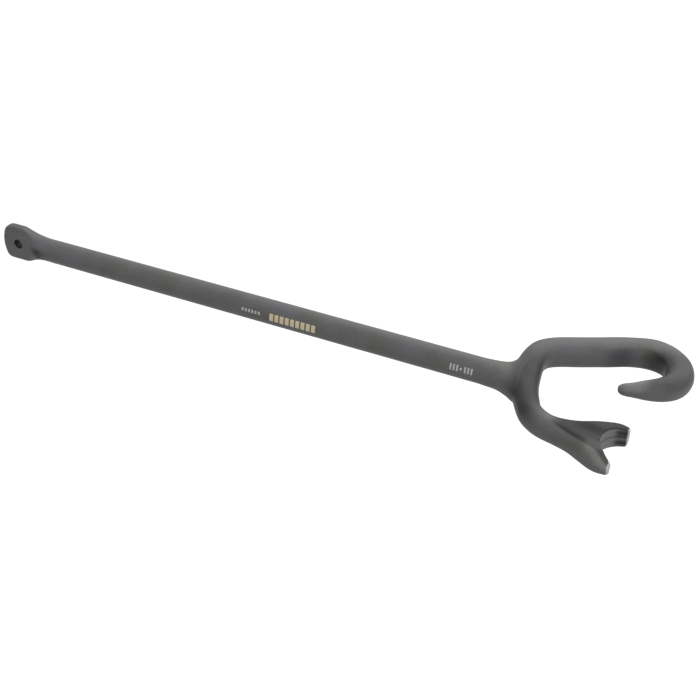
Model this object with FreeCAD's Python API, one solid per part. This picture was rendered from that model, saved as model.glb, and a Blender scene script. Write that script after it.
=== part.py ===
import FreeCAD, Part
import math
import os

# Hook-and-claw hydrant wrench, drop forged in one piece.
# Millimetres.  Origin: centre of the hanging hole, on the handle's axis.
# +X runs along the handle to the head, +Y to the hook side, +Z up.
# The head lies in the XY plane, which is also the forging's parting plane.

# ---- handle ----
BAR_DIAMETER = 15.5
HOLE_DIAMETER = 6.0
EYE_REAR = -12.8
EYE_REAR_RADIUS = 26.0      # the rear edge bulges slightly
EYE_REAR_DROP = 2.5         # and is fullest this far below the middle
EYE_FLAT_END = 4.5
EYE_HEIGHT = 25.2
EYE_THICKNESS = 6.2
EYE_CORNER = 3.0
EYE_EDGE = 1.2
SHOULDER_END = 30.0
SHANK_END = 334.0

# A station is: centre x, centre y, heading in degrees, width in the plane, height, squareness.
# Squareness 2 is an ellipse; larger values fill out the corners.
SHOULDER_STATIONS = [
    (4.5, 0.0, 0.0, 6.2, 25.2, 9.0),
    (7.6, 0.0, 0.0, 6.4, 23.8, 7.0),
    (10.4, 0.0, 0.0, 8.0, 21.4, 4.6),
    (13.6, 0.0, 0.0, 11.2, 18.8, 3.0),
    (17.4, 0.0, 0.0, 14.2, 16.6, 2.3),
    (22.0, 0.0, 0.0, 15.5, 15.5, 2.0),
    (30.0, 0.0, 0.0, 15.5, 15.5, 2.0),
]
NECK_STATIONS = [
    (334.0, 0.0, 0.0, 15.5, 15.5, 2.0),
    (338.5, 0.0, 0.0, 16.2, 15.4, 2.1),
    (345.0, 0.2, 0.0, 18.5, 15.2, 2.2),
    (350.5, 0.3, 0.0, 24.2, 15.0, 2.3),
    (356.0, 0.9, 0.0, 30.8, 14.4, 2.4),
]

# ---- head: stations along the bar, from the claw's tips round to the hook's point ----
CLAW_STATIONS = [
    (423.0, -34.9, 173.8, 33.4, 12.4, 4.6),
    (417.4, -34.4, 173.8, 34.2, 13.4, 4.8),
    (412.0, -34.3, 174.0, 31.7, 14.0, 4.4),
    (405.5, -34.0, 177.0, 26.5, 14.4, 3.6),
    (399.0, -33.7, 176.0, 20.7, 14.4, 2.8),
    (392.0, -33.4, 174.0, 16.2, 14.4, 2.4),
    (385.0, -32.7, 165.0, 13.9, 14.4, 2.2),
]
YOKE_STATIONS = [
    (377.8, -30.3, 154.0, 13.7, 14.4, 2.2),
    (371.5, -25.4, 139.0, 13.9, 14.4, 2.2),
    (366.5, -17.2, 118.0, 14.4, 14.8, 2.2),
    (362.3, -7.6, 107.0, 15.2, 15.2, 2.3),
    (359.3, 3.3, 98.0, 16.0, 15.8, 2.4),
    (357.8, 14.0, 91.0, 15.8, 16.0, 2.4),
    (358.0, 23.4, 77.0, 15.4, 16.2, 2.4),
    (360.8, 30.8, 52.0, 16.4, 16.4, 2.4),
    (367.4, 36.2, 31.0, 16.8, 16.6, 2.4),
]
HOOK_STATIONS = [
    (378.5, 41.5, 25.5, 17.0, 16.8, 2.4),
    (395.0, 49.6, 25.5, 17.0, 16.8, 2.4),
    (411.0, 56.6, 20.0, 17.2, 16.8, 2.4),
    (420.6, 57.9, 4.0, 18.2, 16.8, 2.4),
    (429.3, 54.9, -34.0, 17.3, 16.4, 2.4),
    (435.6, 48.5, -64.0, 16.3, 16.0, 2.4),
    (437.6, 40.2, -96.0, 16.4, 15.6, 2.3),
    (435.4, 31.9, -124.0, 15.0, 14.8, 2.2),
    (429.2, 25.9, -143.0, 12.5, 13.4, 2.2),
    (421.3, 22.0, -152.0, 9.5, 11.2, 2.1),
    (414.8, 19.2, -157.0, 7.0, 8.6, 2.0),
    (410.4, 17.7, -160.0, 5.2, 6.3, 2.1),
    (408.6, 17.2, -160.0, 3.2, 3.8, 2.2),
]

# ---- claw notch: a round bite out of the claw's end ----
NOTCH_RADIUS = 12.3
NOTCH_CENTRE_X = 424.4
NOTCH_CENTRE_Y = -35.4
TINE_SPLIT_X = 413.4

# ---- where the head is divided into named pieces: x, y, heading, disc radius ----
DIVISIONS = [
    (TINE_SPLIT_X, NOTCH_CENTRE_Y, 0.0, 20.0),
    (398.0, -33.9, 176.0, 14.0),
    (381.5, -31.2, 160.0, 12.0),
    (375.0, 39.9, 27.0, 12.0),
    (413.0, 57.2, 18.0, 12.0),
    (429.2, 25.8, -143.0, 11.0),
]
# A point inside each piece of the head, used to name it.
PIECE_CENTRES = {
    "claw_tine_inner": (418.0, -21.5),
    "claw_tine_outer": (417.0, -48.5),
    "claw_palm": (404.0, -34.0),
    "claw_arm": (390.0, -33.0),
    "head_yoke": (362.0, 3.0),
    "hook_arm": (394.0, 49.0),
    "hook_bend": (431.0, 46.0),
    "hook_point": (419.0, 21.5),
}

# ---- printed marks, curved patches of ink on the -Y side of the shank ----
# Each mark: start x, length, height round the bar, degrees above the middle of the -Y side.
INK_THICKNESS = 0.12
MARKS = {
    "stripe_mark_gold": (198.5, 31.4, 5.0, 12.0),
    "stripe_mark_white": (179.0, 13.0, 2.6, 16.0),
    "size_mark": (316.2, 15.2, 4.2, 20.0),
}


def section(x, y, heading, width, height, squareness, count=24):
    """Closed curve across the bar, square to its heading."""
    across = math.radians(heading + 90.0)
    power = 2.0 / squareness
    points = []
    for index in range(count):
        angle = 2.0 * math.pi * index / count
        reach = math.copysign(abs(math.cos(angle)) ** power, math.cos(angle)) * width / 2.0
        lift = math.copysign(abs(math.sin(angle)) ** power, math.sin(angle)) * height / 2.0
        points.append(FreeCAD.Vector(x + reach * math.cos(across), y + reach * math.sin(across), lift))
    curve = Part.BSplineCurve()
    curve.interpolate(Points=points, PeriodicFlag=True)
    return Part.Wire([curve.toShape()])


def bar(stations):
    """Solid lofted smoothly through the stations, in order."""
    return Part.makeLoft([section(*station) for station in stations], True, False)


def disc(x, y, heading, radius):
    """Flat disc square to the heading, used to divide the head."""
    normal = FreeCAD.Vector(math.cos(math.radians(heading)), math.sin(math.radians(heading)), 0.0)
    circle = Part.makeCircle(radius, FreeCAD.Vector(x, y, 0.0), normal)
    return Part.Face(Part.Wire([circle]))


def make_eye():
    """Flat rear end with a rounded outline and the hanging hole."""
    length = EYE_FLAT_END - EYE_REAR
    corner = FreeCAD.Vector(EYE_REAR, -EYE_THICKNESS / 2.0, -EYE_HEIGHT / 2.0)
    rear_centre = FreeCAD.Vector(EYE_REAR + EYE_REAR_RADIUS, -EYE_THICKNESS, -EYE_REAR_DROP)
    rear_round = Part.makeCylinder(EYE_REAR_RADIUS, 2.0 * EYE_THICKNESS, rear_centre, FreeCAD.Vector(0, 1, 0))
    plate = Part.makeBox(length, EYE_THICKNESS, EYE_HEIGHT, corner).common(rear_round)
    rear_edges = [edge for edge in plate.Edges if is_rear_corner(edge)]
    plate = plate.makeFillet(EYE_CORNER, rear_edges)
    plate = plate.makeFillet(EYE_EDGE, [edge for edge in plate.Edges if is_face_rim(edge)])
    hole_start = FreeCAD.Vector(0.0, -EYE_THICKNESS, 0.0)
    hole = Part.makeCylinder(HOLE_DIAMETER / 2.0, 2.0 * EYE_THICKNESS, hole_start, FreeCAD.Vector(0, 1, 0))
    return plate.cut(hole)


def is_rear_corner(edge):
    """True for the two edges along Y at the plate's rear end."""
    box = edge.BoundBox
    return box.YLength > 1.0 and box.XLength < 0.01 and box.ZLength < 0.01 and box.XMax < 0.0


def is_face_rim(edge):
    """True for the plate's edges that lie in one of its two faces, clear of its front end."""
    box = edge.BoundBox
    return box.YLength < 0.01 and box.XMin < EYE_FLAT_END - 0.01


def make_head():
    """Claw, yoke and hook as one bar, with the claw's notch cut out."""
    head = bar(CLAW_STATIONS + YOKE_STATIONS + HOOK_STATIONS)
    notch_base = FreeCAD.Vector(NOTCH_CENTRE_X, NOTCH_CENTRE_Y, -BAR_DIAMETER)
    return head.cut(Part.makeCylinder(NOTCH_RADIUS, 2.0 * BAR_DIAMETER, notch_base))


def divide_head(head):
    """Split the head at the division discs; return the named pieces."""
    divided, _ = head.generalFuse([disc(*division) for division in DIVISIONS])
    pieces = {}
    for name, (x, y) in PIECE_CENTRES.items():
        target = FreeCAD.Vector(x, y, 0.0)
        pieces[name] = min(divided.Solids, key=lambda solid: solid.CenterOfMass.distanceToPoint(target))
    return pieces


def make_mark(start_x, length, height, rise):
    """Thin curved patch lying on the shank's surface."""
    radius = BAR_DIAMETER / 2.0
    sweep = math.degrees(height / radius)
    start = FreeCAD.Vector(start_x, 0.0, 0.0)
    along = FreeCAD.Vector(1, 0, 0)
    outer = Part.makeCylinder(radius + INK_THICKNESS, length, start, along, sweep)
    inner = Part.makeCylinder(radius, length, start, along)
    patch = outer.cut(inner)
    patch.rotate(FreeCAD.Vector(0, 0, 0), along, 90.0 - rise - sweep / 2.0)
    return patch


def main():
    os.makedirs("parts", exist_ok=True)
    head = make_head()
    shank_length = SHANK_END - SHOULDER_END
    shank_start = FreeCAD.Vector(SHOULDER_END, 0.0, 0.0)
    nodes = divide_head(head)
    nodes["handle_eye"] = make_eye()
    nodes["handle_shoulder"] = bar(SHOULDER_STATIONS)
    nodes["handle_shank"] = Part.makeCylinder(BAR_DIAMETER / 2.0, shank_length, shank_start, FreeCAD.Vector(1, 0, 0))
    nodes["head_neck"] = bar(NECK_STATIONS).cut(head)
    for name, mark in MARKS.items():
        nodes[name] = make_mark(*mark)
    for name, shape in nodes.items():
        shape.exportStep("parts/" + name + ".step")


main()
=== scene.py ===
"""Looks of a drop-forged hook-and-claw hydrant wrench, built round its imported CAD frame.

Lengths are millimetres until a mesh is made, then metres.  +X runs along the handle to the
head, +Y to the hook side and +Z up; the head's parting plane is z = 0.
"""

import logging
import math
from dataclasses import dataclass, field
from enum import Enum

import bmesh
import bpy
import numpy as np
from mathutils import Matrix, Vector


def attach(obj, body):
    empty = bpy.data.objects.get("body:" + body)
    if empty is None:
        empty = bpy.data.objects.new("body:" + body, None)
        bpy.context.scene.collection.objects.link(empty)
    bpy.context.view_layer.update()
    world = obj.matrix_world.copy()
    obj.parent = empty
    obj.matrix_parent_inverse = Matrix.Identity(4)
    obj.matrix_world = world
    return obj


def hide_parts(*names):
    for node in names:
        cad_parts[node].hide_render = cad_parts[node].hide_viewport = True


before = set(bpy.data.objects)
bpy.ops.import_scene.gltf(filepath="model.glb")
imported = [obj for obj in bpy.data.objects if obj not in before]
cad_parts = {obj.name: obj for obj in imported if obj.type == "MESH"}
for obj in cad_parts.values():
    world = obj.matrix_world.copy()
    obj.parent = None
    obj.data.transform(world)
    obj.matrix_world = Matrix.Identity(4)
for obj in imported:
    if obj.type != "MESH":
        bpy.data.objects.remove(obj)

LOG = logging.getLogger("hydrant_wrench")
METRE = 0.001
BODY = "root"

Array = np.ndarray
Point = tuple[float, float, float]
Colour = tuple[float, float, float]
Section = tuple[float, float, float, float, float, float]


class Slot(Enum):
    """Material slots of the record."""

    STEEL = "forged_steel"
    GOLD = "gold_ink"
    WHITE = "white_ink"


# --------------------------------------------------------------------------- shaping rules


def natural_spline(knots: Array, values: Array, wanted: Array) -> Array:
    """Smooth curve through rows of values.

    Args:
        knots: Increasing parameter of each row.
        values: One row of numbers for each knot.
        wanted: Parameters to read the curve at.

    Returns:
        One row for each wanted parameter.
    """
    count = len(knots)
    gap = np.diff(knots)
    system = np.eye(count)
    right = np.zeros_like(values)
    for i in range(1, count - 1):
        system[i, i - 1:i + 2] = gap[i - 1], 2.0 * (gap[i - 1] + gap[i]), gap[i]
        rise_before = (values[i] - values[i - 1]) / gap[i - 1]
        rise_after = (values[i + 1] - values[i]) / gap[i]
        right[i] = 6.0 * (rise_after - rise_before)
    bend = np.linalg.solve(system, right)
    i = np.clip(np.searchsorted(knots, wanted) - 1, 0, count - 2)
    width = gap[i][:, None]
    before = (knots[i + 1] - wanted)[:, None]
    after = (wanted - knots[i])[:, None]
    slope_from = values[i] / width - bend[i] * width / 6.0
    slope_to = values[i + 1] / width - bend[i + 1] * width / 6.0
    cubic = (bend[i] * before ** 3 + bend[i + 1] * after ** 3) / (6.0 * width)
    return cubic + slope_from * before + slope_to * after


def join(first: Array, second: Array, blend: float) -> Array:
    """Union of two distance fields with a fillet about blend wide."""
    reach = np.maximum(blend - np.abs(first - second), 0.0) / blend
    return np.minimum(first, second) - reach * reach * blend * 0.25


def trim(first: Array, second: Array, blend: float) -> Array:
    """Overlap of two distance fields with an edge rounded by about blend."""
    return -join(-first, -second, blend)


def smoothstep(value: Array, start: float, end: float) -> Array:
    """0 before start, 1 after end, and a smooth rise between them."""
    t = np.clip((value - start) / (end - start), 0.0, 1.0)
    return t * t * (3.0 - 2.0 * t)


def bump(value: Array, centre: float, width: float) -> Array:
    """Bell curve, 1 at its centre."""
    return np.exp(-((value - centre) / width) ** 2)


def band(value: Array, start: float, full: float, fade: float, end: float) -> Array:
    """0 before start, 1 from full to fade, and 0 again after end."""
    return smoothstep(value, start, full) * (1.0 - smoothstep(value, fade, end))


class Bar:
    """A bar whose superellipse section changes along a path in the XY plane."""

    STEP = 0.5
    EXTENSION = 7.0
    CHUNK = 4096  # points located at once
    FAR = 9.0  # distance given where no section plane passes

    def __init__(self, sections: list[Section]) -> None:
        """Samples the path.

        Args:
            sections: Rows of centre x, centre y, heading in degrees, width, height, squareness.
        """
        rows = np.array(sections, float)
        knots = np.concatenate([[0.0], np.cumsum(np.hypot(*np.diff(rows[:, :2], axis=0).T))])
        self.length = float(knots[-1])
        inner = np.linspace(0.0, self.length, int(self.length / self.STEP) + 1)
        table = natural_spline(knots, rows, inner)
        run = np.arange(self.STEP, self.EXTENSION, self.STEP)
        self.place = np.concatenate([-run[::-1], inner, self.length + run])
        self.table = np.concatenate([
            self._run_on(table[0], -run[::-1]),
            table,
            self._run_on(table[-1], run),
        ])

    @staticmethod
    def _run_on(row: Array, distances: Array) -> Array:
        """Copies an end section straight on along its heading."""
        rows = np.repeat(row[None, :], len(distances), axis=0)
        angle = math.radians(row[2])
        rows[:, 0] += distances * math.cos(angle)
        rows[:, 1] += distances * math.sin(angle)
        return rows

    def locate(self, x: Array, y: Array) -> tuple[Array, Array, Array]:
        """Finds the section plane each point of the XY plane lies in.

        Args:
            x: Flat array of x.
            y: Flat array of y.

        Returns:
            Distance along the path, signed distance across it, and whether a plane was found.
        """
        cx, cy = self.table[:, 0], self.table[:, 1]
        angle = np.radians(self.table[:, 2])
        hx, hy = np.cos(angle), np.sin(angle)
        along = np.zeros(len(x))
        across = np.zeros(len(x))
        found = np.zeros(len(x), bool)
        for start in range(0, len(x), self.CHUNK):
            part = slice(start, start + self.CHUNK)
            dx = x[part, None] - cx
            dy = y[part, None] - cy
            ahead = dx * hx + dy * hy
            side = dy * hx - dx * hy
            crossing = (ahead[:, :-1] > 0.0) & (ahead[:, 1:] <= 0.0)
            cost = np.where(crossing, np.abs(side[:, :-1]) / self.table[:-1, 3], np.inf)
            i = np.argmin(cost, axis=1)
            row = np.arange(len(i))
            run = np.where(crossing[row, i], ahead[row, i] - ahead[row, i + 1], 1.0)
            share = np.where(crossing[row, i], ahead[row, i] / run, 0.0)
            along[part] = self.place[i] + share * (self.place[i + 1] - self.place[i])
            across[part] = side[row, i] + share * (side[row, i + 1] - side[row, i])
            found[part] = crossing[row, i]
        return along, across, found

    def size(self, along: Array) -> tuple[Array, Array, Array]:
        """Half width, half height and squareness at distances along the path."""
        half_width = np.interp(along, self.place, self.table[:, 3]) / 2.0
        half_height = np.interp(along, self.place, self.table[:, 4]) / 2.0
        return half_width, half_height, np.interp(along, self.place, self.table[:, 5])

    def distance(self, along: Array, across: Array, z: Array, found: Array) -> Array:
        """Distance from the bar's surface, negative inside."""
        half_width, half_height, squareness = self.size(along)
        power = (np.abs(across) / half_width) ** squareness
        power = power + (np.abs(z) / half_height) ** squareness
        scale = np.maximum(power ** (1.0 / squareness), 1e-4)
        radius = np.sqrt(across ** 2 + z ** 2) + 1e-6
        return np.where(found, radius - radius / scale, self.FAR)


@dataclass
class Grid:
    """A block of space sampled at even steps."""

    low: Point
    high: Point
    step: float
    axes: list[Array] = field(init=False)

    def __post_init__(self) -> None:
        """Lays out the sample positions on each axis."""
        self.axes = [
            low + self.step * np.arange(int(math.ceil((high - low) / self.step)) + 1)
            for low, high in zip(self.low, self.high)
        ]

    def read(self, values: Array, points: Array) -> Array:
        """Values between the samples, by trilinear interpolation.

        Args:
            values: Sampled field, with any further axes after the first three.
            points: Rows of x, y, z.

        Returns:
            The field at each point.
        """
        place = (points - np.array(self.low)) / self.step
        limit = np.array(values.shape[:3]) - 2
        cell = np.clip(np.floor(place).astype(int), 0, limit)
        share = np.clip(place - cell, 0.0, 1.0)
        total = 0.0
        for dx in (0, 1):
            for dy in (0, 1):
                for dz in (0, 1):
                    weight = (
                        np.where(dx, share[:, 0], 1.0 - share[:, 0])
                        * np.where(dy, share[:, 1], 1.0 - share[:, 1])
                        * np.where(dz, share[:, 2], 1.0 - share[:, 2])
                    )
                    corner = values[cell[:, 0] + dx, cell[:, 1] + dy, cell[:, 2] + dz]
                    total = total + corner * weight.reshape((-1,) + (1,) * (corner.ndim - 1))
        return total


class ForgedSkin:
    """Closed surface of a distance field, cut into pieces at flat seams."""

    SETTLE_ROUNDS = 3
    LEAST_STEEPNESS = 0.2

    def __init__(self, grid: Grid, values: Array) -> None:
        """Meshes the field's zero surface.

        Args:
            grid: Where the field was sampled.
            values: The field, negative inside.
        """
        self.grid = grid
        self.values = values
        slopes = np.gradient(values, grid.step)
        self.slopes = np.stack(slopes, axis=-1)
        points, quads = self._nets()
        self.points = self._settle(points)
        self.quads = quads

    def _nets(self) -> tuple[Array, Array]:
        """One vertex in each cell the surface crosses, and one quad round each crossed edge."""
        inside = self.values < 0.0
        shape = np.array(inside.shape) - 1
        corners = [(a, b, c) for a in (0, 1) for b in (0, 1) for c in (0, 1)]
        total = np.zeros(tuple(shape) + (3,))
        hits = np.zeros(tuple(shape))
        for first in corners:
            for axis in range(3):
                if first[axis]:
                    continue
                second = tuple(1 if i == axis else n for i, n in enumerate(first))
                a = self._corner(self.values, first, shape)
                b = self._corner(self.values, second, shape)
                crossed = (a < 0.0) != (b < 0.0)
                share = np.where(crossed, a / np.where(crossed, a - b, 1.0), 0.0)
                for i in range(3):
                    offset = share if i == axis else first[i]
                    total[..., i] += np.where(crossed, offset, 0.0)
                hits += crossed
        used = hits > 0
        number = np.full(tuple(shape), -1)
        number[used] = np.arange(int(used.sum()))
        places = np.argwhere(used) + total[used] / hits[used][:, None]
        points = np.array(self.grid.low) + self.grid.step * places
        quads = [self._faces(inside, number, axis) for axis in range(3)]
        return points, np.concatenate(quads)

    @staticmethod
    def _corner(values: Array, corner: tuple[int, int, int], shape: Array) -> Array:
        """Values at one corner of every cell."""
        a, b, c = corner
        return values[a:a + shape[0], b:b + shape[1], c:c + shape[2]]

    @staticmethod
    def _faces(inside: Array, number: Array, axis: int) -> Array:
        """Quads round the crossed edges that run along one axis, wound outward."""
        low = np.moveaxis(inside, axis, 0)[:-1, 1:-1, 1:-1]
        high = np.moveaxis(inside, axis, 0)[1:, 1:-1, 1:-1]
        cell = np.moveaxis(number, axis, 0)
        ring = [cell[:, :-1, :-1], cell[:, 1:, :-1], cell[:, 1:, 1:], cell[:, :-1, 1:]]
        if axis == 1:
            ring = ring[::-1]
        leaving = low & ~high
        entering = high & ~low
        outward = np.stack([r[leaving] for r in ring], axis=-1)
        inward = np.stack([r[entering] for r in ring[::-1]], axis=-1)
        return np.concatenate([outward, inward])

    def _settle(self, points: Array) -> Array:
        """Moves the vertices onto the surface."""
        for _ in range(self.SETTLE_ROUNDS):
            value = self.grid.read(self.values, points)
            slope = self.grid.read(self.slopes, points)
            steepness = np.maximum((slope ** 2).sum(axis=1), self.LEAST_STEEPNESS)
            points = points - slope * (value / steepness)[:, None]
        return points

    def normals(self, points: Array) -> Array:
        """Unit outward normals of the surface near the points."""
        slope = self.grid.read(self.slopes, points)
        return slope / np.maximum(np.linalg.norm(slope, axis=1), 1e-6)[:, None]

    def cut(
        self, seams: list["Seam"], centres: dict[str, tuple[float, float]]
    ) -> dict[str, bpy.types.Mesh]:
        """Cuts the skin into closed pieces.

        Args:
            seams: Flat cuts across the bar.
            centres: A point in plan near the middle of each piece that is kept.

        Returns:
            A mesh in millimetres for each name, with a face attribute "cap" on the cut ends.
        """
        whole = bpy.data.meshes.new("whole")
        whole.from_pydata(self.points.tolist(), [], self.quads.tolist())
        work = bmesh.new()
        work.from_mesh(whole)
        bpy.data.meshes.remove(whole)
        cap_layer = work.faces.layers.int.new("cap")
        opened = []
        for seam in seams:
            opened += seam.score(work)
        edges = list(dict.fromkeys(edge for edge in opened if edge.is_valid))
        bmesh.ops.split_edges(work, edges=edges)
        rims = [edge for edge in work.edges if edge.is_boundary]
        caps = set(bmesh.ops.holes_fill(work, edges=rims, sides=0)["faces"])
        for face in caps:
            face[cap_layer] = 1
        bmesh.ops.recalc_face_normals(work, faces=list(work.faces))
        islands = self._islands(work)
        middles = [np.mean([vert.co[:2] for vert in island], axis=0) for island in islands]
        pieces = {}
        for name, centre in centres.items():
            nearest = int(np.argmin([np.hypot(*(middle - centre)) for middle in middles]))
            pieces[name] = self._island_mesh(name, islands[nearest], cap_layer)
        work.free()
        return pieces

    @staticmethod
    def _islands(work: bmesh.types.BMesh) -> list[list[bmesh.types.BMVert]]:
        """Groups of vertices that hang together."""
        seen: set[bmesh.types.BMVert] = set()
        islands = []
        for start in work.verts:
            if start in seen:
                continue
            seen.add(start)
            group = [start]
            for vert in group:
                for edge in vert.link_edges:
                    other = edge.other_vert(vert)
                    if other not in seen:
                        seen.add(other)
                        group.append(other)
            islands.append(group)
        return islands

    @staticmethod
    def _island_mesh(
        name: str, island: list[bmesh.types.BMVert], cap_layer: bmesh.types.BMLayerItem
    ) -> bpy.types.Mesh:
        """Mesh of one group, keeping which faces are caps."""
        index = {vert: i for i, vert in enumerate(island)}
        faces = list(dict.fromkeys(face for vert in island for face in vert.link_faces))
        mesh = bpy.data.meshes.new(name)
        rings = [[index[vert] for vert in face.verts] for face in faces]
        mesh.from_pydata([vert.co[:] for vert in island], [], rings)
        mark_caps(mesh, [bool(face[cap_layer]) for face in faces])
        return mesh


@dataclass(frozen=True)
class Seam:
    """A flat cut square to the bar, near one point of its path."""

    x: float
    y: float
    heading: float
    reach: float

    def score(self, work: bmesh.types.BMesh) -> list[bmesh.types.BMEdge]:
        """Cuts the faces near the seam along its plane and returns the new edges."""
        near = [face for face in work.faces if self._is_near(face)]
        geometry = dict.fromkeys(near)
        for face in near:
            geometry.update(dict.fromkeys([*face.edges, *face.verts]))
        angle = math.radians(self.heading)
        result = bmesh.ops.bisect_plane(
            work,
            geom=list(geometry),
            dist=1e-4,
            plane_co=(self.x, self.y, 0.0),
            plane_no=(math.cos(angle), math.sin(angle), 0.0),
        )
        return [item for item in result["geom_cut"] if isinstance(item, bmesh.types.BMEdge)]

    def _is_near(self, face: bmesh.types.BMFace) -> bool:
        """Whether a face lies within reach of the seam in plan."""
        middle = face.calc_center_median()
        return math.hypot(middle.x - self.x, middle.y - self.y) < self.reach


# --------------------------------------------------------------------------- piece helpers


def give_normals(mesh: bpy.types.Mesh, normals: Array) -> None:
    """Sets smooth normals on the skin and leaves the flat caps flat.

    Args:
        mesh: Mesh with or without a face attribute "cap".
        normals: One normal for each vertex.
    """
    mesh.polygons.foreach_set("use_smooth", [True] * len(mesh.polygons))
    corner_vertex = np.zeros(len(mesh.loops), int)
    mesh.loops.foreach_get("vertex_index", corner_vertex)
    chosen = normals[corner_vertex]
    cap = mesh.attributes.get("cap")
    if cap is not None:
        for polygon in mesh.polygons:
            if cap.data[polygon.index].value:
                chosen[list(polygon.loop_indices)] = polygon.normal
        mesh.attributes.remove(mesh.attributes["cap"])
    mesh.normals_split_custom_set(chosen.tolist())


def mark_caps(mesh: bpy.types.Mesh, caps: list[bool]) -> None:
    """Records which faces are flat cut ends."""
    mesh.attributes.new("cap", "BOOLEAN", "FACE").data.foreach_set("value", caps)


def vertex_points(mesh: bpy.types.Mesh) -> Array:
    """Rows of vertex positions."""
    points = np.zeros(len(mesh.vertices) * 3)
    mesh.vertices.foreach_get("co", points)
    return points.reshape(-1, 3)


def paint(mesh: bpy.types.Mesh, name: str, values: Array) -> None:
    """Stores one number for each vertex, for the materials to read."""
    attribute = mesh.attributes.new(name, "FLOAT", "POINT")
    attribute.data.foreach_set("value", np.asarray(values, np.float32))


def add_object(name: str, data: bpy.types.ID) -> bpy.types.Object:
    """Adds an object to the scene."""
    item = bpy.data.objects.new(name, data)
    bpy.context.scene.collection.objects.link(item)
    return item


def place_piece(
    name: str, mesh: bpy.types.Mesh, node: str, material: bpy.types.Material
) -> None:
    """Makes the scene object of a finished piece, riding on the body.

    Args:
        name: The piece's name.
        mesh: Its mesh, in metres.
        node: CAD node it stands for.
        material: Its finish.
    """
    mesh.name = name
    mesh.materials.clear()
    mesh.materials.append(material)
    piece = add_object(name, mesh)
    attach(piece, BODY)
    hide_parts(node)
    LOG.info("%s: %d faces, stands for %s", name, len(mesh.polygons), node)


def place_forged(
    node: str, mesh: bpy.types.Mesh, wear: Array, painted_shading: Array, steel: bpy.types.Material
) -> None:
    """Paints and places a piece cut from a skin.

    Args:
        node: CAD node it stands for.
        mesh: Its mesh, in millimetres.
        wear: Rubbed paint at each vertex, from 0 to 1.
        painted_shading: Painted shade and painted highlight at each vertex, as a factor on the
            coat's colour.
        steel: The forged finish.
    """
    paint(mesh, "wear", wear)
    paint(mesh, "painted_shading", painted_shading)
    mesh.transform(Matrix.Scale(METRE, 4))
    name = "forged_" + node.removeprefix("handle_").removeprefix("head_")
    place_piece(name, mesh, node, steel)


# --------------------------------------------------------------------------- handle


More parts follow.
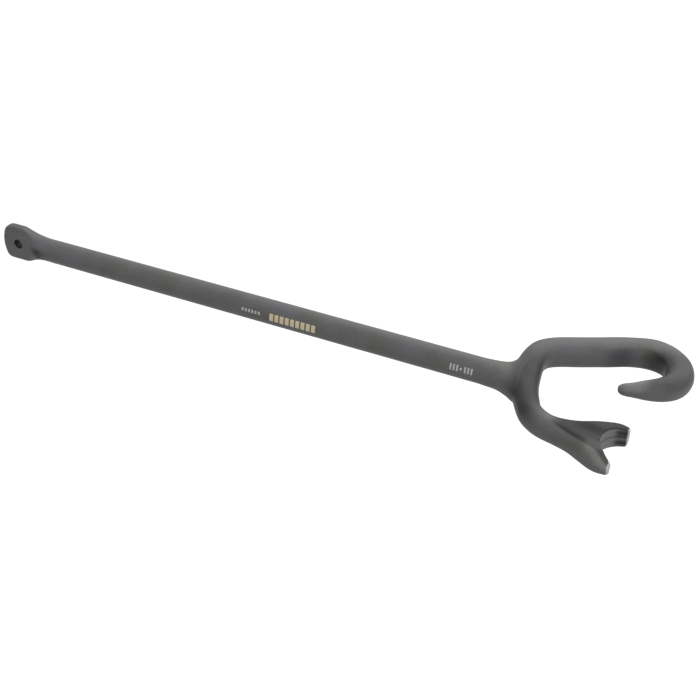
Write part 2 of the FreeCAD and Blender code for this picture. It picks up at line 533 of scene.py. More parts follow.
@dataclass
class Handle:
    """Eye, shoulder and round shank."""

    bar_radius: float = 7.75
    shoulder_end: float = 30.0
    shank_end: float = 334.0
    eye_front: float = 4.5
    eye_rear_centre: float = 13.2
    eye_rear_drop: float = 2.5
    eye_rear_radius: float = 26.0
    eye_half_height: float = 12.6
    eye_half_thickness: float = 3.1
    eye_corner: float = 3.2
    eye_edge: float = 1.8
    hole_radius: float = 3.0
    hole_edge: float = 1.0
    sides: int = 96
    rings: int = 153
    step: float = 0.42
    shoulder: list[Section] = field(default_factory=lambda: [
        (4.5, 0.0, 0.0, 6.2, 25.2, 9.0),
        (7.6, 0.0, 0.0, 6.4, 23.8, 7.0),
        (10.4, 0.0, 0.0, 8.0, 21.4, 4.6),
        (13.6, 0.0, 0.0, 11.2, 18.8, 3.0),
        (17.4, 0.0, 0.0, 14.2, 16.6, 2.3),
        (22.0, 0.0, 0.0, 15.5, 15.5, 2.0),
        (30.0, 0.0, 0.0, 15.5, 15.5, 2.0),
    ])

    def build(self, steel: bpy.types.Material) -> None:
        """Builds the three pieces of the handle in the forged finish."""
        skin = self._end_skin()
        centres = {"handle_eye": (-4.0, 0.0), "handle_shoulder": (17.0, 0.0)}
        seams = [Seam(self.eye_front, 0.0, 0.0, 16.0), Seam(self.shoulder_end, 0.0, 0.0, 12.0)]
        for node, mesh in skin.cut(seams, centres).items():
            points = vertex_points(mesh)
            give_normals(mesh, skin.normals(points))
            place_forged(node, mesh, self._end_wear(points), self._end_painted_shade(points), steel)
        self._shank(steel)

    def _end_skin(self) -> ForgedSkin:
        """Surface of the flat eye as it swells into the round bar."""
        grid = Grid((-14.0, -9.0, -14.0), (34.0, 9.0, 14.0), self.step)
        x, y, z = np.meshgrid(*grid.axes, indexing="ij")
        found = np.ones(x.shape, bool)
        round_part = Bar(self.shoulder).distance(x - self.eye_front, y, z, found)
        rear = np.hypot(x - self.eye_rear_centre, z + self.eye_rear_drop) - self.eye_rear_radius
        outline = trim(rear, np.abs(z) - self.eye_half_height, self.eye_corner)
        plate = trim(outline, np.abs(y) - self.eye_half_thickness, self.eye_edge)
        share = smoothstep(x, 2.0, 8.0)
        body = plate * (1.0 - share) + round_part * share
        bore = self.hole_radius - np.hypot(x, z)
        return ForgedSkin(grid, trim(body, bore, self.hole_edge))

    def _end_wear(self, points: Array) -> Array:
        """Rubbed paint on the eye's rim and round its hole."""
        x, y, z = points.T
        rim = smoothstep(np.abs(z), 10.6, 12.3) * smoothstep(-x, -8.0, -2.0)
        hole = bump(np.hypot(x, z), self.hole_radius + 0.5, 0.6) * smoothstep(np.abs(y), 2.2, 3.0)
        return np.clip(0.12 * rim + 0.4 * hole, 0.0, 1.0)

    def _end_painted_shade(self, points: Array) -> Array:
        """Painted shade: darker in the shoulder's hollow on the -Y side, inside the hole and a
        little along the eye's top and bottom rims.
        """
        x, y, z = points.T
        # Painted shade in the shoulder's hollow, inside the hole and along the eye's rims.
        hollow = bump(x, 18.0, 6.5) * smoothstep(-y, 2.0, 4.0) * band(z, -7.5, -2.5, 1.0, 4.5)
        bore = 1.0 - smoothstep(np.hypot(x, z), self.hole_radius + 0.1, self.hole_radius + 0.7)
        edge = smoothstep(np.abs(z), 11.8, 12.4) * (1.0 - smoothstep(x, 2.0, 7.0))
        return 1.0 - 0.75 * hollow - 0.9 * bore - 0.15 * edge

    def _shank(self, steel: bpy.types.Material) -> None:
        """Round shank, swept along its axis by Geometry Nodes."""
        values = {
            "Start": self.shoulder_end * METRE,
            "End": self.shank_end * METRE,
            "Radius": self.bar_radius * METRE,
            "Sides": self.sides,
            "Rings": self.rings,
            "Finish": steel,
        }
        mesh = run_tree(sweep_tree(), values, "shank_sweep")
        points = vertex_points(mesh)
        mark_caps(mesh, [abs(polygon.normal.x) > 0.9 for polygon in mesh.polygons])
        normals = points * np.array([0.0, 1.0, 1.0])
        give_normals(mesh, normals / np.linalg.norm(normals, axis=1)[:, None])
        paint(mesh, "wear", np.zeros(len(points)))
        paint(mesh, "painted_shading", np.ones(len(points)))
        place_piece("forged_shank", mesh, "handle_shank", steel)


# --------------------------------------------------------------------------- head


@dataclass
class Head:
    """Neck, yoke, hook and claw: one bar bent round the jaw and forged onto the shank."""

    step: float = 0.5
    neck_blend: float = 5.0
    neck_reach: float = 2.0
    neck_edge: float = 1.5
    end_edge: float = 1.8
    point_edge: float = 1.0
    palm_edge: float = 3.0
    facet_edge: float = 1.2
    notch_x: float = 424.4
    notch_y: float = -35.4
    notch_radius: float = 12.3
    notch_edge: float = 0.9
    flash_height: float = 0.12
    flash_width: float = 0.85
    notch_flash: float = 0.5
    neck: list[Section] = field(default_factory=lambda: [
        (334.0, 0.0, 0.0, 15.5, 15.5, 2.0),
        (338.5, 0.0, 0.0, 16.2, 15.4, 2.1),
        (345.0, 0.2, 0.0, 18.5, 15.2, 2.2),
        (350.5, 0.3, 0.0, 24.2, 15.0, 2.3),
        (356.0, 0.9, 0.0, 30.8, 14.4, 2.4),
    ])
    bend: list[Section] = field(default_factory=lambda: [
        (423.0, -34.9, 173.8, 33.4, 12.4, 4.6),
        (417.4, -34.4, 173.8, 34.2, 13.4, 4.8),
        (412.0, -34.3, 174.0, 31.7, 14.0, 4.4),
        (405.5, -34.0, 177.0, 26.5, 14.4, 3.6),
        (399.0, -33.7, 176.0, 20.7, 14.4, 2.8),
        (392.0, -33.4, 174.0, 16.2, 14.4, 2.4),
        (385.0, -32.7, 165.0, 13.9, 14.4, 2.2),
        (377.8, -30.3, 154.0, 13.7, 14.4, 2.2),
        (371.5, -25.4, 139.0, 13.9, 14.4, 2.2),
        (366.5, -17.2, 118.0, 14.4, 14.8, 2.2),
        (362.3, -7.6, 107.0, 15.2, 15.2, 2.3),
        (359.3, 3.3, 98.0, 16.0, 15.8, 2.4),
        (357.8, 14.0, 91.0, 15.8, 16.0, 2.4),
        (358.0, 23.4, 77.0, 15.4, 16.2, 2.4),
        (360.8, 30.8, 52.0, 16.4, 16.4, 2.4),
        (367.4, 36.2, 31.0, 16.8, 16.6, 2.4),
        (378.5, 41.5, 25.5, 17.0, 16.8, 2.4),
        (395.0, 49.6, 25.5, 17.0, 16.8, 2.4),
        (411.0, 56.6, 20.0, 17.2, 16.8, 2.4),
        (420.6, 57.9, 4.0, 18.2, 16.8, 2.4),
        (429.3, 54.9, -34.0, 17.3, 16.4, 2.4),
        (435.6, 48.5, -64.0, 16.3, 16.0, 2.4),
        (437.6, 40.2, -96.0, 16.4, 15.6, 2.3),
        (435.4, 31.9, -124.0, 15.0, 14.8, 2.2),
        (429.2, 25.9, -143.0, 12.5, 13.4, 2.2),
        (421.3, 22.0, -152.0, 9.5, 11.2, 2.1),
        (414.8, 19.2, -157.0, 7.0, 8.6, 2.0),
        (410.4, 17.7, -160.0, 5.2, 6.3, 2.1),
        (408.6, 17.2, -160.0, 3.2, 3.8, 2.2),
    ])
    seams: list[Seam] = field(default_factory=lambda: [
        Seam(413.4, -35.4, 0.0, 21.0),
        Seam(398.0, -33.9, 176.0, 15.0),
        Seam(381.5, -31.2, 160.0, 13.0),
        Seam(375.0, 39.9, 27.0, 13.0),
        Seam(413.0, 57.2, 18.0, 13.0),
        Seam(429.2, 25.8, -143.0, 12.0),
        Seam(346.5, 0.0, 0.0, 14.5),
        Seam(334.0, 0.0, 0.0, 12.0),
    ])
    centres: dict[str, tuple[float, float]] = field(default_factory=lambda: {
        "claw_tine_inner": (418.0, -21.5),
        "claw_tine_outer": (417.0, -48.5),
        "claw_palm": (404.0, -34.0),
        "claw_arm": (390.0, -33.0),
        "head_yoke": (362.0, 3.0),
        "hook_arm": (394.0, 49.0),
        "hook_bend": (431.0, 46.0),
        "hook_point": (419.0, 21.5),
        "head_neck": (340.0, 0.0),
    })

    def build(self, steel: bpy.types.Material) -> None:
        """Builds the nine pieces of the head in the forged finish."""
        bar = Bar(self.bend)
        skin = self._skin(bar)
        for node, mesh in skin.cut(self.seams, self.centres).items():
            points = vertex_points(mesh)
            normals = skin.normals(points)
            give_normals(mesh, normals)
            along = bar.locate(points[:, 0], points[:, 1])[0]
            wear = self._wear(points, normals, along, bar.length)
            place_forged(node, mesh, wear, self._painted_shade_and_highlight(points, normals), steel)

    def _skin(self, bar: Bar) -> ForgedSkin:
        """Surface of the whole head, before it is cut at the seams."""
        grid = Grid((329.0, -55.0, -10.0), (449.5, 70.0, 10.0), self.step)
        plan_x, plan_y = np.meshgrid(grid.axes[0], grid.axes[1], indexing="ij")
        along, across, found = [
            part.reshape(plan_x.shape)[:, :, None]
            for part in bar.locate(plan_x.ravel(), plan_y.ravel())
        ]
        x, y, z = plan_x[:, :, None], plan_y[:, :, None], grid.axes[2][None, None, :]
        flash = self.flash_height * bump(z, 0.0, self.flash_width)
        body = bar.distance(along, across, z, found) - flash
        body = trim(body, self._palm_dish(x, y, z), self.palm_edge)
        body = trim(body, self._tine_facet(x, y, z), self.facet_edge)
        body = trim(body, -along, self.end_edge)
        body = trim(body, along - bar.length, self.point_edge)
        notch = self.notch_radius - np.hypot(x - self.notch_x, y - self.notch_y)
        notch = notch - self.notch_flash * bump(z, 0.0, 1.0)
        body = trim(body, notch, self.notch_edge)
        body = join(body, self._neck_distance(x, y, z), self.neck_blend)
        return ForgedSkin(grid, body + self._unevenness(x, y, z))

    def _neck_distance(self, x: Array, y: Array, z: Array) -> Array:
        """Distance from the flared neck, which ends inside the yoke."""
        neck = Bar(self.neck)
        along = x - self.neck[0][0]
        centre = np.interp(along, neck.place, neck.table[:, 1])
        found = np.broadcast_to(along < neck.length + self.neck_reach, np.broadcast(x, y, z).shape)
        body = neck.distance(along, y - centre, z, found)
        return trim(body, along - neck.length, self.neck_edge)

    @staticmethod
    def _palm_dish(x: Array, y: Array, z: Array) -> Array:
        """Shallow hollow in the upper face of the claw, beside the inner tine."""
        from_x, from_y, from_z = x - 402.0, y + 32.0, z - 14.4
        cosine, sine = 0.97, 0.24
        half_length, half_width, half_height = 19.0, 7.0, 8.0
        along = (from_x * cosine - from_y * sine) / half_length
        across = (from_y * cosine + from_x * sine) / half_width
        bowl = np.sqrt(along ** 2 + across ** 2 + (from_z / half_height) ** 2)
        return (1.0 - bowl) * half_width

    @staticmethod
    def _tine_facet(x: Array, y: Array, z: Array) -> Array:
        """Hammered flat along the upper outside edge of the outer tine."""
        return (x - 414.0) * 0.3 - (y + 47.4) * 0.62 + (z - 5.4) * 0.72

    @staticmethod
    def _unevenness(x: Array, y: Array, z: Array) -> Array:
        """Slow waviness left by the dies and the trimming, nil where the shank joins."""
        wave = np.sin(x / 4.3 + 1.7 * np.sin(y / 7.1)) * np.sin(y / 5.2 + z / 6.0 + 0.6)
        wave = wave + 0.6 * np.sin(x / 2.4 - y / 3.1 + z / 2.9)
        return 0.055 * wave * smoothstep(x, 335.0, 345.0)

    def _wear(self, points: Array, normals: Array, along: Array, length: float) -> Array:
        """Rubbed, lighter metal on the tine ends, the notch rim and the hook's point."""
        x, y, z = points.T
        end_face = smoothstep(2.6 - along, 0.0, 1.2) * smoothstep(normals[:, 0], 0.25, 0.7)
        end_face = end_face * (y < 0.0)
        ring = np.abs(np.hypot(x - self.notch_x, y - self.notch_y) - self.notch_radius)
        rim = bump(np.abs(z), 6.2, 0.7) * smoothstep(1.6 - ring, 0.0, 1.2) * (x < 430.0)
        tip = smoothstep(along, length - 4.0, length - 0.5)
        return np.clip(end_face + 0.3 * rim + 0.25 * tip, 0.0, 1.0)

    def _painted_shade_and_highlight(self, points: Array, normals: Array) -> Array:
        """Painted shade and painted highlight, as a factor on the coat's colour.

        Painted shade darkens the palm, the yoke, the hook's bend, two patches where the inside of
        the hook arm faces the hook's point, and the inner tine's wall; painted highlight lightens
        the top of the hook's point, a facet on the outer tine and the notch's seat.

        Args:
            points: Rows of x, y, z on the surface.
            normals: The outward normal at each point.

        Returns:
            A factor for the coat's colour at each point.
        """
        x, y, z = points.T
        ahead, inward, upward = normals[:, 0], -normals[:, 1], normals[:, 2]
        up = smoothstep(upward, 0.05, 0.5)
        # Painted shade on the palm, the yoke, the hook's bend and the inner tine's wall.
        crease = -35.8 - 0.42 * (x - 388.0)
        palm = up * smoothstep(x, 382.0, 391.0) * smoothstep(y - crease, -1.6, 0.6)
        palm = palm * (1.0 - smoothstep(y, -16.0, -10.0))
        yoke = band(x, 346.0, 360.0, 368.0, 384.0) * band(y, -44.0, -28.0, 10.0, 34.0)
        bend = up * smoothstep(x, 418.0, 428.0) * band(y, 18.0, 25.0, 50.0, 60.0)
        # Painted shade where the inside of the hook arm faces the hook's point.
        arm_shade = np.maximum(0.85 * bump(x, 403.0, 9.0), bump(x, 422.0, 7.5))
        arm_shade = arm_shade * smoothstep(inward, 0.4, 0.75) * smoothstep(y, 36.0, 42.0)
        wall = smoothstep(x, 416.5, 419.5) * smoothstep(inward, 0.6, 0.9)
        wall = wall * bump(np.abs(z), 3.2, 1.7) * band(y, -27.0, -25.0, -14.0, -10.0)
        # Painted highlight on the top of the hook's point, the outer tine's facet and the notch's
        # seat.
        tip = band(y, 10.0, 14.0, 26.0, 30.0) * band(x, 400.0, 408.0, 418.0, 427.0)
        facet = smoothstep(x, 403.0, 409.0) * smoothstep(-y, 38.0, 42.0)
        facet = facet * smoothstep(upward, -0.2, 0.3)
        seat = smoothstep(inward, -0.2, 0.3) * smoothstep(ahead, 0.3, 0.7) * (np.abs(z) < 6.2)
        from_notch = np.hypot(x - self.notch_x, y - self.notch_y)
        seat = seat * (from_notch < self.notch_radius + self.notch_edge)
        # Painted shade and painted highlight, combined into one factor.
        dark = 0.85 * palm + 0.7 * yoke * (0.45 + 0.55 * up) + 0.42 * bend
        dark = dark + 0.55 * arm_shade + 0.82 * wall
        light = 0.6 * tip * up + 0.4 * facet + 0.35 * seat
        return np.clip(1.0 - dark + light, 0.08, 1.5)


# --------------------------------------------------------------------------- ink marks


@dataclass(frozen=True)
class BarRow:
    """A run of equal ink bars printed along the shank."""

    start: float
    count: int
    pitch: float
    width: float
    height: float


@dataclass
class InkMark:
    """Rows of plain ink bars that stand where a tool of this kind is printed."""

    name: str
    node: str
    slot: Slot
    rise: float
    rows: list[BarRow]
    shank_radius: float = 7.75
    thickness: float = 0.1

    def build(self, ink: bpy.types.Material) -> None:
        """Builds the mark as one piece in the ink's finish."""
        tree = bar_row_tree()
        work = bmesh.new()
        for row in self.rows:
            values = {
                "Start": row.start * METRE,
                "Count": row.count,
                "Pitch": row.pitch * METRE,
                "Width": row.width * METRE,
                "Height": row.height * METRE,
                "Thickness": self.thickness * METRE,
                "Radius": (self.shank_radius + self.thickness / 2.0) * METRE,
                "Rise": math.radians(self.rise),
                "Finish": ink,
            }
            mesh = run_tree(tree, values, self.name + "_row")
            work.from_mesh(mesh)
            bpy.data.meshes.remove(mesh)
        bmesh.ops.recalc_face_normals(work, faces=list(work.faces))
        mesh = bpy.data.meshes.new(self.name)
        work.to_mesh(mesh)
        work.free()
        place_piece(self.name, mesh, self.node, ink)


def ink_marks() -> list[InkMark]:
    """The three marks on the side of the shank."""
    return [
        InkMark("gold_stripe_bars", "stripe_mark_gold", Slot.GOLD, 12.0, [
            BarRow(199.85, 9, 3.6, 2.6, 4.8),
        ]),
        InkMark("white_stripe_bars", "stripe_mark_white", Slot.WHITE, 16.0, [
            BarRow(179.6, 6, 2.3, 1.3, 2.0),
        ]),
        InkMark("size_bars", "size_mark", Slot.WHITE, 20.0, [
            BarRow(317.4, 3, 2.0, 1.0, 3.8),
            BarRow(323.6, 1, 2.0, 1.3, 1.5),
            BarRow(326.2, 3, 2.0, 1.0, 3.8),
        ]),
    ]


# --------------------------------------------------------------------------- node trees


class Wiring:
    """Shorthand for building a node tree."""

    def __init__(self, tree: bpy.types.NodeTree) -> None:
        """Keeps the tree."""
        self.tree = tree

    def feed(self, socket: bpy.types.NodeSocket, value: object) -> None:
        """Links a socket, or sets its value."""
        if isinstance(value, bpy.types.NodeSocket):
            self.tree.links.new(value, socket)
        else:
            socket.default_value = value

    def fill(self, node: bpy.types.Node, **inputs: object) -> bpy.types.Node:
        """Feeds a node's inputs.

        Args:
            node: The node.
            inputs: Value or socket for each input, with _ in place of spaces.

        Returns:
            The node.
        """
        for name, value in inputs.items():
            self.feed(node.inputs[name.replace("_", " ")], value)
        return node

    def node(self, kind: str, **inputs: object) -> bpy.types.Node:
        """Adds a node of a kind and feeds its inputs, as fill does."""
        return self.fill(self.tree.nodes.new(kind), **inputs)

    def group(self, shared: bpy.types.NodeTree, **inputs: object) -> bpy.types.Node:
        """Places a shader group and feeds its inputs, as fill does."""
        made = self.node("ShaderNodeGroup")
        made.node_tree = shared
        return self.fill(made, **inputs)

    def calc(self, operation: str, *values: object) -> bpy.types.NodeSocket:
        """Result of a Math node."""
        made = self.node("ShaderNodeMath")
        made.operation = operation
        for socket, value in zip(made.inputs, values):
            self.feed(socket, value)
        return made.outputs[0]

    def vector(self, x: object, y: object = 0.0, z: object = 0.0) -> bpy.types.NodeSocket:
        """Vector from three numbers or sockets."""
        return self.node("ShaderNodeCombineXYZ", X=x, Y=y, Z=z).outputs[0]

    def ramp(
        self, value: object, low: float, high: float, to_low: float, to_high: float
    ) -> bpy.types.NodeSocket:
        """Smooth map of a value from low..high to to_low..to_high."""
        made = self.node("ShaderNodeMapRange", Value=value, From_Min=low, From_Max=high)
        made.interpolation_type = "SMOOTHSTEP"
        return self.fill(made, To_Min=to_low, To_Max=to_high).outputs["Result"]

    def blend(self, share: object, first: object, second: object) -> bpy.types.NodeSocket:
        """Mix of two colours."""
        made = self.node("ShaderNodeMix")
        made.data_type = "RGBA"
        self.fill(made, Factor=share)
        for name, colour in (("A", first), ("B", second)):
            self.feed(next(s for s in made.inputs if s.name == name and s.type == "RGBA"), colour)
        return next(s for s in made.outputs if s.type == "RGBA")

    def scaled(self, colour: object, factor: object) -> bpy.types.NodeSocket:
        """Colour made lighter or darker by a factor."""
        made = self.node("ShaderNodeVectorMath")
        made.operation = "SCALE"
        self.feed(made.inputs[0], colour)
        return self.fill(made, Scale=factor).outputs[0]

    def noise(
        self, place: object, scale: object, detail: float, roughness: float
    ) -> bpy.types.NodeSocket:
        """Noise between 0 and 1."""
        made = self.node("ShaderNodeTexNoise", Vector=place, Scale=scale)
        return self.fill(made, Detail=detail, Roughness=roughness).outputs["Fac"]

    def painted(self, name: str) -> bpy.types.NodeSocket:
        """The number stored on the mesh under a name."""
        made = self.node("ShaderNodeAttribute")
        made.attribute_name = name
        return made.outputs["Fac"]

    def relief(self, height: object, strength: float, distance: float) -> bpy.types.NodeSocket:
        """Normal tilted by a height."""
        made = self.node("ShaderNodeBump", Height=height, Strength=strength, Distance=distance)
        return made.outputs["Normal"]


def new_geometry_tree(name: str, inputs: dict[str, str]) -> Wiring:
    """Makes an empty geometry tree that gives out one geometry.

    Args:
        name: Its name.
        inputs: Kind of socket for each input, such as Float.

    Returns:
        Wiring for the tree.
    """
    tree = bpy.data.node_groups.new(name, "GeometryNodeTree")
    for label, kind in inputs.items():
        tree.interface.new_socket(label, in_out="INPUT", socket_type="NodeSocket" + kind)
    tree.interface.new_socket("Geometry", in_out="OUTPUT", socket_type="NodeSocketGeometry")
    return Wiring(tree)


def close_tree(
    wire: Wiring, shape: bpy.types.NodeSocket, finish: bpy.types.NodeSocket
) -> bpy.types.NodeTree:
    """Ends a geometry tree in Realize Instances and Set Material, and returns it."""
    real = wire.node("GeometryNodeRealizeInstances", Geometry=shape).outputs["Geometry"]
    dressed = wire.node("GeometryNodeSetMaterial", Geometry=real, Material=finish)
    wire.node("NodeGroupOutput", Geometry=dressed.outputs["Geometry"])
    return wire.tree


def sweep_tree() -> bpy.types.NodeTree:
    """Tree that sweeps a circle along a straight line on X."""
    wire = new_geometry_tree("Straight sweep", {
        "Start": "Float",
        "End": "Float",
        "Radius": "Float",
        "Sides": "Int",
        "Rings": "Int",
        "Finish": "Material",
    })
    given = wire.node("NodeGroupInput").outputs
    ends = {"Start": wire.vector(given["Start"]), "End": wire.vector(given["End"])}
    line = wire.node("GeometryNodeCurvePrimitiveLine", **ends).outputs["Curve"]
    path = wire.node("GeometryNodeResampleCurve", Curve=line, Count=given["Rings"])
    circle = wire.node(
        "GeometryNodeCurvePrimitiveCircle", Resolution=given["Sides"], Radius=given["Radius"]
    )
    sweep = wire.node(
        "GeometryNodeCurveToMesh",
        Curve=path.outputs["Curve"],
        Profile_Curve=circle.outputs["Curve"],
        Fill_Caps=True,
    )
    return close_tree(wire, sweep.outputs["Mesh"], given["Finish"])


def bar_row_tree() -> bpy.types.NodeTree:
    """Tree that lays a row of thin bars on the side of a round shank."""
    wire = new_geometry_tree("Bar row", {
        "Start": "Float",
        "Count": "Int",
        "Pitch": "Float",
        "Width": "Float",
        "Height": "Float",
        "Thickness": "Float",
        "Radius": "Float",
        "Rise": "Float",
        "Finish": "Material",
    })
    given = wire.node("NodeGroupInput").outputs
    line = wire.node(
        "GeometryNodeMeshLine",
        Count=given["Count"],
        Start_Location=wire.vector(given["Start"]),
        Offset=wire.vector(given["Pitch"]),
    )
    size = wire.vector(given["Width"], given["Height"], given["Thickness"])
    slab = wire.node("GeometryNodeMeshCube", Size=size, Vertices_Y=9)
    spread = wire.node(
        "GeometryNodeInstanceOnPoints", Points=line.outputs["Mesh"], Instance=slab.outputs["Mesh"]
    )
    single = wire.node("GeometryNodeRealizeInstances", Geometry=spread.outputs["Instances"])
    wrap = wire.node(
        "GeometryNodeSetPosition",
        Geometry=single.outputs["Geometry"],
        Position=wrapped_position(wire, given),
    )
    return close_tree(wire, wrap.outputs["Geometry"], given["Finish"])


def wrapped_position(
    wire: Wiring, given: bpy.types.bpy_prop_collection
) -> bpy.types.NodeSocket:
    """Rolls a flat position onto the -Y side of the shank.

    Args:
        wire: The tree's wiring.
        given: The tree's inputs.

    Returns:
        The wrapped position.
    """
    place = wire.node("GeometryNodeInputPosition").outputs[0]
    flat = wire.node("ShaderNodeSeparateXYZ", Vector=place).outputs
    turn = wire.calc("ADD", wire.calc("DIVIDE", flat["Y"], given["Radius"]), given["Rise"])
    radius = wire.calc("ADD", flat["Z"], given["Radius"])
    side = wire.calc("MULTIPLY", wire.calc("COSINE", turn), radius)
    up = wire.calc("MULTIPLY", wire.calc("SINE", turn), radius)
    return wire.vector(flat["X"], wire.calc("MULTIPLY", side, -1.0), up)


def run_tree(tree: bpy.types.NodeTree, values: dict[str, object], name: str) -> bpy.types.Mesh:
    """Evaluates a geometry tree into a plain mesh.

    Args:
        tree: The tree.
        values: Value of each named input.
        name: Name of the mesh.

    Returns:
        The mesh.
    """
    seed = bpy.data.meshes.new(name + "_seed")
    carrier = add_object(name, seed)
    modifier = carrier.modifiers.new("build", "NODES")
    modifier.node_group = tree
    for item in tree.interface.items_tree:
        if item.in_out == "INPUT":
            modifier[item.identifier] = values[item.name]
    graph = bpy.context.evaluated_depsgraph_get()
    mesh = bpy.data.meshes.new_from_object(carrier.evaluated_get(graph), depsgraph=graph)
    carrier.modifiers.remove(modifier)
    bpy.data.objects.remove(carrier)
    bpy.data.meshes.remove(seed)
    return mesh


# --------------------------------------------------------------------------- finishes


def new_group(name: str, inputs: dict[str, float], outputs: list[str]) -> Wiring:
    """Makes an empty shader group whose sockets are all numbers.

    Args:
        name: Its name.
        inputs: Default of each input.
        outputs: Names of the outputs.

    Returns:
        Wiring for the group's tree.
    """
    tree = bpy.data.node_groups.new(name, "ShaderNodeTree")
    for label, default in inputs.items():
        socket = tree.interface.new_socket(label, in_out="INPUT", socket_type="NodeSocketFloat")
        socket.default_value = default
    for label in outputs:
        tree.interface.new_socket(label, in_out="OUTPUT", socket_type="NodeSocketFloat")
    return Wiring(tree)


def forge_grain_group() -> bpy.types.NodeTree:
    """Group for the skin of a forging: slow mottling, fine grain and small pits."""
    wire = new_group(
        "Forge grain",
        {"Mottle Size": 14.0, "Grain Size": 0.5, "Pits": 0.5},
        ["Mottle", "Grain", "Height"],
    )
    given = wire.node("NodeGroupInput").outputs
    place = wire.node("ShaderNodeTexCoord").outputs["Object"]
    mottle_scale = wire.calc("DIVIDE", 1.0 / METRE, given["Mottle Size"])
    grain_scale = wire.calc("DIVIDE", 1.0 / METRE, given["Grain Size"])
    mottle = wire.noise(place, mottle_scale, 3.0, 0.55)
    grain = wire.noise(place, grain_scale, 4.0, 0.6)
    pits = wire.noise(place, wire.calc("MULTIPLY", grain_scale, 0.3), 2.0, 0.5)
    pits = wire.calc("MULTIPLY", wire.ramp(pits, 0.24, 0.36, -1.0, 0.0), given["Pits"])
    height = wire.calc("ADD", grain, pits)
    wire.node("NodeGroupOutput", Mottle=mottle, Grain=grain, Height=height)
    return wire.tree


def rubbed_edge_group() -> bpy.types.NodeTree:
    """Group that breaks a wear value up into rubbed patches."""
    wire = new_group("Rubbed edge", {"Wear": 0.0, "Patch Size": 1.6}, ["Mask"])
    given = wire.node("NodeGroupInput").outputs
    place = wire.node("ShaderNodeTexCoord").outputs["Object"]
    scale = wire.calc("DIVIDE", 1.0 / METRE, given["Patch Size"])
    patches = wire.calc("SUBTRACT", wire.noise(place, scale, 4.0, 0.65), 0.5)
    raised = wire.calc("ADD", given["Wear"], wire.calc("MULTIPLY", patches, 0.9))
    wire.node("NodeGroupOutput", Mask=wire.ramp(raised, 0.3, 0.75, 0.0, 1.0))
    return wire.tree


def rgba(colour: Colour) -> tuple[float, float, float, float]:
    """Colour with full alpha."""
    return (*colour, 1.0)


def new_material(name: str) -> tuple[bpy.types.Material, Wiring, bpy.types.Node]:
    """Makes a material, and gives its wiring and its Principled BSDF too."""
    material = bpy.data.materials.new(name)
    material.use_nodes = True
    tree = material.node_tree
    return material, Wiring(tree), tree.nodes["Principled BSDF"]


@dataclass(frozen=True)
class ForgedFinish:
    """Dark satin coating on forged steel, thin and rubbed at the working ends."""

    name: str = "forged_steel_dark_coat"
    warm: Colour = (0.067, 0.0675, 0.0635)
    cool: Colour = (0.061, 0.061, 0.065)
    bare: Colour = (0.27, 0.27, 0.275)
    roughness: float = 0.46
    specular: float = 0.11
    bump_strength: float = 0.32
    bump_distance: float = 0.00012

    def build(self, grain: bpy.types.NodeTree, rubbed: bpy.types.NodeTree) -> bpy.types.Material:
        """Makes the material.

        Args:
            grain: The forge grain group.
            rubbed: The rubbed edge group.

        Returns:
            The material.
        """
        material, wire, shader = new_material(self.name)
        skin = wire.group(grain, Mottle_Size=16.0, Grain_Size=0.55, Pits=0.6)
        wear = wire.group(rubbed, Wear=wire.painted("wear"))
        mottle = skin.outputs["Mottle"]
        hue = wire.ramp(mottle, 0.35, 0.65, 0.0, 1.0)
        speckle = wire.ramp(skin.outputs["Grain"], 0.3, 0.7, 0.84, 1.16)
        patches = wire.ramp(mottle, 0.32, 0.68, 0.88, 1.12)
        light = wire.calc("MULTIPLY", speckle, patches)
        # Painted shade and painted highlight stored on the mesh scale the coat's colour.
        light = wire.calc("MULTIPLY", light, wire.painted("painted_shading"))
        shade = wire.scaled(wire.blend(hue, rgba(self.warm), rgba(self.cool)), light)
        mask = wire.calc("MULTIPLY", wear.outputs["Mask"], 0.75)
        rough = wire.ramp(mottle, 0.3, 0.7, self.roughness - 0.05, self.roughness + 0.08)
        relief = wire.relief(skin.outputs["Height"], self.bump_strength, self.bump_distance)
        wire.fill(
            shader,
            Base_Color=wire.blend(mask, shade, rgba(self.bare)),
            Metallic=wire.calc("MULTIPLY", mask, 0.3),
            Roughness=wire.calc("SUBTRACT", rough, wire.calc("MULTIPLY", mask, 0.06)),
            Specular_IOR_Level=self.specular,
            Normal=relief,
        )
        return material


@dataclass(frozen=True)
class InkFinish:
    """Printed ink, thin enough to follow the steel's grain and rubbed through in spots."""

    name: str
    ink: Colour
    under: Colour = (0.07, 0.07, 0.07)
    roughness: float = 0.5
    bump_strength: float = 0.25
    bump_distance: float = 0.00006

    def build(self, grain: bpy.types.NodeTree, rubbed: bpy.types.NodeTree) -> bpy.types.Material:
        """Makes the material.

        Args:
            grain: The forge grain group.
            rubbed: The rubbed edge group.

        Returns:
            The material.
        """
        material, wire, shader = new_material(self.name)
        skin = wire.group(grain, Mottle_Size=3.0, Grain_Size=0.35, Pits=0.3)
        wear = wire.group(rubbed, Wear=0.12, Patch_Size=0.7)
        shade = wire.scaled(self.ink, wire.ramp(skin.outputs["Grain"], 0.3, 0.7, 0.85, 1.1))
        wire.fill(
            shader,
            Base_Color=wire.blend(wear.outputs["Mask"], shade, rgba(self.under)),
            Roughness=wire.ramp(
                skin.outputs["Mottle"], 0.3, 0.7, self.roughness - 0.05, self.roughness + 0.1
            ),
            Metallic=0.0,
            Normal=wire.relief(skin.outputs["Height"], self.bump_strength, self.bump_distance),
        )
        return material


# --------------------------------------------------------------------------- studio


def aim(item: bpy.types.Object, place: Point, target: Point) -> None:
    """Stands a light or camera at a place, facing a target."""
    item.location = place
    item.rotation_mode = "QUATERNION"
    item.rotation_quaternion = (Vector(target) - Vector(place)).to_track_quat("-Z", "Y")


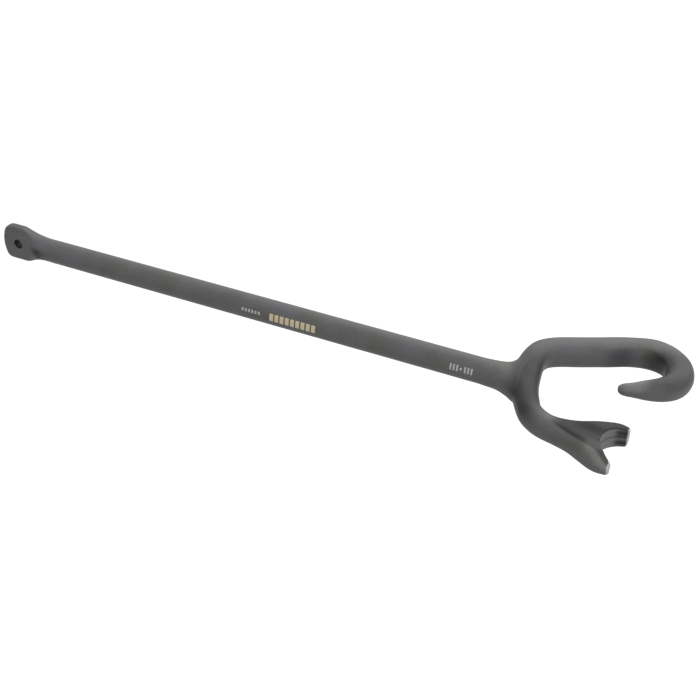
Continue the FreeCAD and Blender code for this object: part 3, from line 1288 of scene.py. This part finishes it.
@dataclass(frozen=True)
class Studio:
    """Pale floor, soft light and the camera."""

    camera_place: Point = (0.4818, -0.47864, 0.37445)
    camera_aim: Point = (0.25701, -0.01486, 0.0)
    lens: float = 55.58
    floor_size: float = 12.0
    floor_height: float = -0.16
    floor_grey: float = 0.53
    sky: float = 1.25

    def build(self) -> None:
        """Sets up everything round the object."""
        self._floor()
        self._sky()
        self._light("overhead", (0.5, 1.2, 1.4), (0.25, 0.0, 0.0), 2.2, 46.0)
        self._light("side", (1.7, -0.5, 0.6), (0.4, 0.0, 0.0), 1.0, 12.0)
        self._camera()
        bpy.context.scene.view_settings.view_transform = "Standard"

    def _floor(self) -> None:
        """Plain floor under the object."""
        half = self.floor_size / 2.0
        mesh = bpy.data.meshes.new("floor")
        corners = [(-half, -half), (half, -half), (half, half), (-half, half)]
        mesh.from_pydata([(x, y, self.floor_height) for x, y in corners], [], [(0, 1, 2, 3)])
        material, wire, shader = new_material("floor")
        grey = rgba((self.floor_grey,) * 3)
        wire.fill(shader, Base_Color=grey, Roughness=0.9, Specular_IOR_Level=0.1)
        mesh.materials.append(material)
        add_object("floor", mesh)

    def _sky(self) -> None:
        """Even white light from all round."""
        world = bpy.data.worlds.new("studio")
        world.use_nodes = True
        background = world.node_tree.nodes["Background"]
        background.inputs["Color"].default_value = rgba((1.0, 1.0, 1.0))
        background.inputs["Strength"].default_value = self.sky
        bpy.context.scene.world = world

    @staticmethod
    def _light(name: str, place: Point, target: Point, size: float, power: float) -> None:
        """Adds a square soft light.

        Args:
            name: Its name.
            place: Where it stands.
            target: The point it faces.
            size: Length of its sides.
            power: Its power in watts.
        """
        data = bpy.data.lights.new(name, "AREA")
        data.size = size
        data.energy = power
        aim(add_object(name, data), place, target)

    def _camera(self) -> None:
        """Adds the camera."""
        data = bpy.data.cameras.new("camera")
        data.lens = self.lens
        data.sensor_width = 36.0
        data.clip_start = 0.01
        camera = add_object("camera", data)
        aim(camera, self.camera_place, self.camera_aim)
        bpy.context.scene.camera = camera


def main() -> None:
    logging.basicConfig(level=logging.INFO, format="%(message)s")
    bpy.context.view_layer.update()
    grain = forge_grain_group()
    rubbed = rubbed_edge_group()
    steel = ForgedFinish().build(grain, rubbed)
    inks = {
        Slot.GOLD: InkFinish("gold_ink_print", (0.32, 0.27, 0.17)).build(grain, rubbed),
        Slot.WHITE: InkFinish("white_ink_print", (0.24, 0.24, 0.235)).build(grain, rubbed),
    }
    Handle().build(steel)
    Head().build(steel)
    for mark in ink_marks():
        mark.build(inks[mark.slot])
    Studio().build()


if __name__ == "__main__":
    main()
